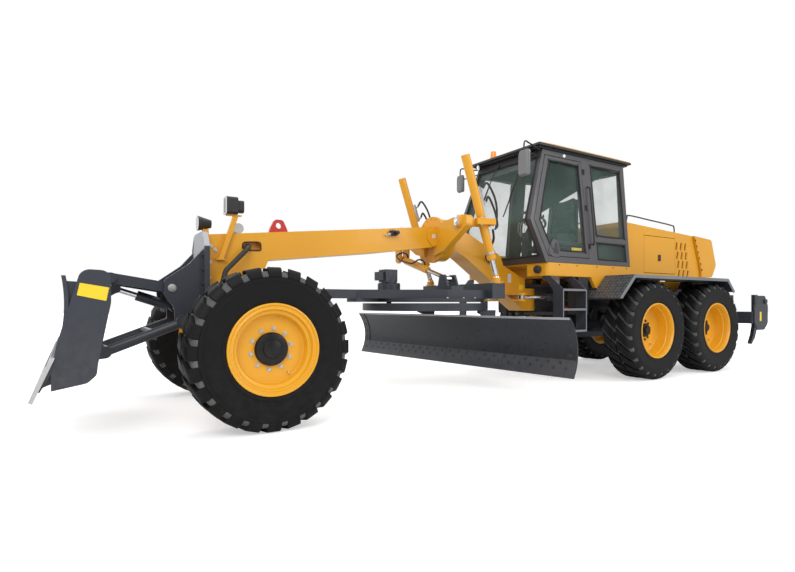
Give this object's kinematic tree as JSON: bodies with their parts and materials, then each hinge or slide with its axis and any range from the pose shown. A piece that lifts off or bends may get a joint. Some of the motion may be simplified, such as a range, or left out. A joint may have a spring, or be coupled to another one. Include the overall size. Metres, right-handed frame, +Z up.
{
  "type": "motor grader",
  "caption": "Articulated motor grader with a cab, a blade on a turning circle, leaning front wheels, a front dozer blade and a rear ripper.",
  "frame": {"origin": "on the ground, under the middle of the whole machine's box", "axes": "+X forward, towards the dozer blade, +Y to the machine's left, +Z up"},
  "size_m": [10.615, 3.9272, 3.32],
  "materials": {
    "yellow_paint": "satin",
    "dark_paint": "satin",
    "chrome_rod": "polished",
    "tyre_rubber": "matte",
    "seat_cloth": "woven",
    "black_plastic": "matte",
    "engine_iron": "matte",
    "window_glass": "tinted"
  },
  "bodies": {
    "rear_body": {"rear_frame": "yellow_paint", "cab_shell": "dark_paint", "cab_floor": "yellow_paint", "cab_roof": "yellow_paint", "seat_base": "black_plastic", "seat_cushion": "seat_cloth", "steering_console": "black_plastic", "hood": "yellow_paint", "engine_block": "engine_iron", "fenders": "dark_paint", "tandem_axle": "dark_paint", "access_ladders": "dark_paint"},
    "front_body": {"front_frame": "yellow_paint", "blade_lift_saddle": "yellow_paint", "dozer_bracket": "dark_paint", "front_axle": "yellow_paint", "nose_fittings": "dark_paint"},
    "left_steer_ram_barrel": {"left_steer_ram_barrel": "dark_paint"},
    "right_steer_ram_barrel": {"right_steer_ram_barrel": "dark_paint"},
    "left_steer_ram_rod": {"left_steer_ram_rod": "chrome_rod"},
    "right_steer_ram_rod": {"right_steer_ram_rod": "chrome_rod"},
    "left_lean_bracket": {"left_lean_bracket": "yellow_paint"},
    "right_lean_bracket": {"right_lean_bracket": "yellow_paint"},
    "lean_tie_bar": {"lean_tie_bar": "yellow_paint"},
    "left_knuckle": {"left_knuckle": "yellow_paint"},
    "right_knuckle": {"right_knuckle": "yellow_paint"},
    "steering_tie_rod": {"steering_tie_rod": "dark_paint"},
    "left_front_wheel": {"left_front_wheel": "tyre_rubber"},
    "right_front_wheel": {"right_front_wheel": "tyre_rubber"},
    "left_middle_wheel": {"left_middle_wheel": "tyre_rubber"},
    "right_middle_wheel": {"right_middle_wheel": "tyre_rubber"},
    "left_rear_wheel": {"left_rear_wheel": "tyre_rubber"},
    "right_rear_wheel": {"right_rear_wheel": "tyre_rubber"},
    "drawbar_swivel": {"drawbar_swivel": "dark_paint"},
    "drawbar": {"drawbar": "dark_paint"},
    "circle": {"circle": "dark_paint"},
    "circle_drive_pinion": {"circle_drive_pinion": "dark_paint"},
    "blade_tilt_frame": {"blade_tilt_frame": "dark_paint"},
    "moldboard": {"moldboard": "dark_paint"},
    "left_lift_yoke": {"left_lift_yoke": "yellow_paint"},
    "right_lift_yoke": {"right_lift_yoke": "yellow_paint"},
    "left_lift_barrel": {"left_lift_barrel": "yellow_paint"},
    "right_lift_barrel": {"right_lift_barrel": "yellow_paint"},
    "left_lift_rod": {"left_lift_rod": "chrome_rod"},
    "right_lift_rod": {"right_lift_rod": "chrome_rod"},
    "centre_shift_ball": {"centre_shift_ball": "yellow_paint"},
    "centre_shift_barrel": {"centre_shift_barrel": "yellow_paint"},
    "centre_shift_rod": {"centre_shift_rod": "chrome_rod"},
    "dozer_arms": {"dozer_arms": "dark_paint"},
    "dozer_blade": {"dozer_blade": "dark_paint"},
    "dozer_link": {"dozer_link": "dark_paint"},
    "dozer_ram_barrel": {"dozer_ram_barrel": "dark_paint"},
    "dozer_ram_rod": {"dozer_ram_rod": "chrome_rod"},
    "ripper_carriage": {"ripper_carriage": "dark_paint"},
    "ripper_ram_barrel": {"ripper_ram_barrel": "yellow_paint"},
    "ripper_ram_rod": {"ripper_ram_rod": "chrome_rod"},
    "left_cab_door": {"left_cab_door": "dark_paint"},
    "right_cab_door": {"right_cab_door": "dark_paint"},
    "left_engine_door": {"left_engine_door": "yellow_paint"},
    "right_engine_door": {"right_engine_door": "yellow_paint"}
  },
  "joints": [
    {"name": "articulation", "type": "hinge", "parent": "rear_body", "child": "front_body", "pos_m": [-0.33, 0, 1.1], "axis": [0, 0, 1], "range_deg": [-27, 27]},
    {"name": "left_steer_ram_swing", "type": "hinge", "parent": "rear_body", "child": "left_steer_ram_barrel", "pos_m": [-1, 0.42, 1.13], "axis": [0, 0, 1], "range_deg": [-11.08, 11.08]},
    {"name": "left_steer_ram_slide", "type": "slide", "parent": "left_steer_ram_barrel", "child": "left_steer_ram_rod", "axis": [0.9998, -0.0179, 0], "range_m": [-0.1929, 0.1929]},
    {"name": "right_steer_ram_swing", "type": "hinge", "parent": "rear_body", "child": "right_steer_ram_barrel", "pos_m": [-1, -0.42, 1.13], "axis": [0, 0, 1], "range_deg": [-11.08, 11.08]},
    {"name": "right_steer_ram_slide", "type": "slide", "parent": "right_steer_ram_barrel", "child": "right_steer_ram_rod", "axis": [0.9998, 0.0179, 0], "range_m": [-0.1929, 0.1929]},
    {"name": "wheel_lean", "type": "hinge", "parent": "front_body", "child": "left_lean_bracket", "pos_m": [3.72, 0.7, 0.56], "axis": [1, 0, 0], "range_deg": [-17, 17]},
    {"name": "right_wheel_lean", "type": "hinge", "parent": "front_body", "child": "right_lean_bracket", "pos_m": [3.72, -0.7, 0.56], "axis": [1, 0, 0], "range_deg": [-17.5, 17.5]},
    {"name": "lean_bar_slide", "type": "slide", "parent": "front_body", "child": "lean_tie_bar", "axis": [0, 1, 0], "range_m": [-0.1029, 0.1029]},
    {"name": "steering", "type": "hinge", "parent": "left_lean_bracket", "child": "left_knuckle", "pos_m": [3.72, 0.83, 0.674], "axis": [0, 0, 1], "range_deg": [-49, 49]},
    {"name": "right_steering", "type": "hinge", "parent": "right_lean_bracket", "child": "right_knuckle", "pos_m": [3.72, -0.83, 0.674], "axis": [0, 0, 1], "range_deg": [-49.5, 49.5]},
    {"name": "tie_rod_slide", "type": "slide", "parent": "front_body", "child": "steering_tie_rod", "axis": [0, 1, 0], "range_m": [-0.1645, 0.1645]},
    {"name": "left_front_wheel_spin", "type": "hinge", "parent": "left_knuckle", "child": "left_front_wheel", "pos_m": [3.72, 1.1, 0.674], "axis": [0, 1, 0], "continuous": true},
    {"name": "left_middle_wheel_spin", "type": "hinge", "parent": "rear_body", "child": "left_middle_wheel", "pos_m": [-1.611, 1.05, 0.674], "axis": [0, 1, 0], "continuous": true},
    {"name": "left_rear_wheel_spin", "type": "hinge", "parent": "rear_body", "child": "left_rear_wheel", "pos_m": [-3.149, 1.05, 0.674], "axis": [0, 1, 0], "continuous": true},
    {"name": "right_front_wheel_spin", "type": "hinge", "parent": "right_knuckle", "child": "right_front_wheel", "pos_m": [3.72, -1.1, 0.674], "axis": [0, 1, 0], "continuous": true},
    {"name": "right_middle_wheel_spin", "type": "hinge", "parent": "rear_body", "child": "right_middle_wheel", "pos_m": [-1.611, -1.05, 0.674], "axis": [0, 1, 0], "continuous": true},
    {"name": "right_rear_wheel_spin", "type": "hinge", "parent": "rear_body", "child": "right_rear_wheel", "pos_m": [-3.149, -1.05, 0.674], "axis": [0, 1, 0], "continuous": true},
    {"name": "drawbar_swing", "type": "hinge", "parent": "front_body", "child": "drawbar_swivel", "pos_m": [3.45, 0, 1.15], "axis": [0, 0, 1], "range_deg": [-6, 6]},
    {"name": "drawbar_lift", "type": "hinge", "parent": "drawbar_swivel", "child": "drawbar", "pos_m": [3.45, 0, 1.15], "axis": [0, 1, 0], "range_deg": [-7, 4]},
    {"name": "circle_turn", "type": "hinge", "parent": "drawbar", "child": "circle", "pos_m": [1.39, 0, 1], "axis": [0, 0, -1], "range_deg": [-30, 40]},
    {"name": "pinion_turn", "type": "hinge", "parent": "drawbar", "child": "circle_drive_pinion", "pos_m": [1.9085, 0, 1], "axis": [0, 0, -1], "range_deg": [-196.86, 262.32]},
    {"name": "blade_tilt", "type": "hinge", "parent": "circle", "child": "blade_tilt_frame", "pos_m": [0.89214, -0.04619, 0.47], "axis": [-0.0924, 0.9957, 0], "range_deg": [-8, 32]},
    {"name": "blade_side_shift", "type": "slide", "parent": "blade_tilt_frame", "child": "moldboard", "axis": [0.0924, -0.9957, 0], "range_m": [-0.5, 0.5]},
    {"name": "left_lift_yoke_swing", "type": "hinge", "parent": "front_body", "child": "left_lift_yoke", "pos_m": [1.04, 0.7, 2], "axis": [0.9664, -0.2572, 0], "range_deg": [-22.8, 22.8]},
    {"name": "left_lift_barrel_tilt", "type": "hinge", "parent": "left_lift_yoke", "child": "left_lift_barrel", "pos_m": [1.04, 0.7, 2], "axis": [0.2572, 0.9664, 0], "range_deg": [-6.34, 3.84]},
    {"name": "left_lift_rod_slide", "type": "slide", "parent": "left_lift_barrel", "child": "left_lift_rod", "axis": [-0.3233, 0, -0.9463], "range_m": [-0.174, 0.3031]},
    {"name": "right_lift_yoke_swing", "type": "hinge", "parent": "front_body", "child": "right_lift_yoke", "pos_m": [1.04, -0.7, 2], "axis": [0.9664, 0.2572, 0], "range_deg": [-22.8, 22.8]},
    {"name": "right_lift_barrel_tilt", "type": "hinge", "parent": "right_lift_yoke", "child": "right_lift_barrel", "pos_m": [1.04, -0.7, 2], "axis": [-0.2572, 0.9664, 0], "range_deg": [-6.34, 3.84]},
    {"name": "right_lift_rod_slide", "type": "slide", "parent": "right_lift_barrel", "child": "right_lift_rod", "axis": [-0.3233, 0, -0.9463], "range_m": [-0.174, 0.3031]},
    {"name": "centre_shift_ball_turn", "type": "hinge", "parent": "front_body", "child": "centre_shift_ball", "pos_m": [1.375, -0.56, 1.64], "axis": [0.8047, -0.3397, -0.4869], "range_deg": [-4.72, 4.72]},
    {"name": "centre_shift_barrel_swing", "type": "hinge", "parent": "centre_shift_ball", "child": "centre_shift_barrel", "pos_m": [1.375, -0.56, 1.64], "axis": [1, 0, 0], "range_deg": [-12.68, 7.46]},
    {"name": "centre_shift_rod_slide", "type": "slide", "parent": "centre_shift_barrel", "child": "centre_shift_rod", "axis": [-0.0095, 0.9586, -0.2847], "range_m": [-0.2378, 0.2378]},
    {"name": "dozer_lift", "type": "hinge", "parent": "front_body", "child": "dozer_arms", "pos_m": [4.24, 0, 0.88], "axis": [0, -1, 0], "range_deg": [-30, 12]},
    {"name": "dozer_blade_pitch", "type": "hinge", "parent": "dozer_arms", "child": "dozer_blade", "pos_m": [4.86, 0, 0.64], "axis": [0, -1, 0], "range_deg": [-6.41, 15.28]},
    {"name": "dozer_link_swing", "type": "hinge", "parent": "front_body", "child": "dozer_link", "pos_m": [4.33, 0, 1.19], "axis": [0, -1, 0], "range_deg": [-35.78, 14.61]},
    {"name": "dozer_ram_swing", "type": "hinge", "parent": "front_body", "child": "dozer_ram_barrel", "pos_m": [4.27, 0, 1.01], "axis": [0, -1, 0], "range_deg": [-32.65, 13.36]},
    {"name": "dozer_ram_slide", "type": "slide", "parent": "dozer_ram_barrel", "child": "dozer_ram_rod", "axis": [0.9448, 0, 0.3278], "range_m": [-0.0786, 0.0326]},
    {"name": "ripper_lift", "type": "hinge", "parent": "rear_body", "child": "ripper_carriage", "pos_m": [-4.45, 0, 0.9], "axis": [0, 1, 0], "range_deg": [-25, 15]},
    {"name": "ripper_ram_swing", "type": "hinge", "parent": "rear_body", "child": "ripper_ram_barrel", "pos_m": [-4.43, 0, 1.33], "axis": [0, 1, 0], "range_deg": [-13.43, 8.26]},
    {"name": "ripper_ram_slide", "type": "slide", "parent": "ripper_ram_barrel", "child": "ripper_ram_rod", "axis": [-0.815, 0, -0.5795], "range_m": [-0.0861, 0.1421]},
    {"name": "left_cab_door_hinge", "type": "hinge", "parent": "rear_body", "child": "left_cab_door", "pos_m": [-0.757, 0.79141, 1.65], "axis": [0, -0.1068, 0.9943], "range_deg": [0, 95]},
    {"name": "left_engine_door_hinge", "type": "hinge", "parent": "rear_body", "child": "left_engine_door", "pos_m": [-3.177, 0.56, 1.815], "axis": [0, 0, 1], "range_deg": [0, 90]},
    {"name": "right_cab_door_hinge", "type": "hinge", "parent": "rear_body", "child": "right_cab_door", "pos_m": [-0.757, -0.79141, 1.65], "axis": [0, -0.1068, -0.9943], "range_deg": [0, 95]},
    {"name": "right_engine_door_hinge", "type": "hinge", "parent": "rear_body", "child": "right_engine_door", "pos_m": [-3.177, -0.56, 1.815], "axis": [0, 0, -1], "range_deg": [0, 90]}
  ],
  "couplings": [
    {"joint": "left_steer_ram_swing", "follows": "articulation", "ratio": 0.39185},
    {"joint": "left_steer_ram_slide", "follows": "articulation", "m_per_rad": -0.40512},
    {"joint": "right_steer_ram_swing", "follows": "articulation", "ratio": 0.39185},
    {"joint": "right_steer_ram_slide", "follows": "articulation", "m_per_rad": 0.40512},
    {"joint": "right_wheel_lean", "follows": "wheel_lean", "ratio": 1},
    {"joint": "lean_bar_slide", "follows": "wheel_lean", "m_per_rad": -0.34},
    {"joint": "right_steering", "follows": "steering", "ratio": 1},
    {"joint": "tie_rod_slide", "follows": "steering", "m_per_rad": -0.19},
    {"joint": "pinion_turn", "follows": "circle_turn", "ratio": 6.5454},
    {"joint": "left_lift_yoke_swing", "follows": "drawbar_swing", "ratio": -3.7168},
    {"joint": "left_lift_barrel_tilt", "follows": "drawbar_lift", "ratio": 0.835},
    {"joint": "left_lift_rod_slide", "follows": "drawbar_lift", "m_per_rad": -2.4642},
    {"joint": "right_lift_yoke_swing", "follows": "drawbar_swing", "ratio": -3.7168},
    {"joint": "right_lift_barrel_tilt", "follows": "drawbar_lift", "ratio": 0.835},
    {"joint": "right_lift_rod_slide", "follows": "drawbar_lift", "m_per_rad": -2.4642},
    {"joint": "centre_shift_ball_turn", "follows": "drawbar_swing", "ratio": -0.70253},
    {"joint": "centre_shift_barrel_swing", "follows": "drawbar_lift", "ratio": 1.7394},
    {"joint": "centre_shift_rod_slide", "follows": "drawbar_swing", "m_per_rad": -2.252},
    {"joint": "dozer_blade_pitch", "follows": "dozer_lift", "ratio": -0.49266},
    {"joint": "dozer_link_swing", "follows": "dozer_lift", "ratio": 1.1759},
    {"joint": "dozer_ram_swing", "follows": "dozer_lift", "ratio": 1.0716},
    {"joint": "dozer_ram_slide", "follows": "dozer_lift", "m_per_rad": 0.14625},
    {"joint": "ripper_ram_swing", "follows": "ripper_lift", "ratio": 0.51719},
    {"joint": "ripper_ram_slide", "follows": "ripper_lift", "m_per_rad": -0.32106}
  ]
}
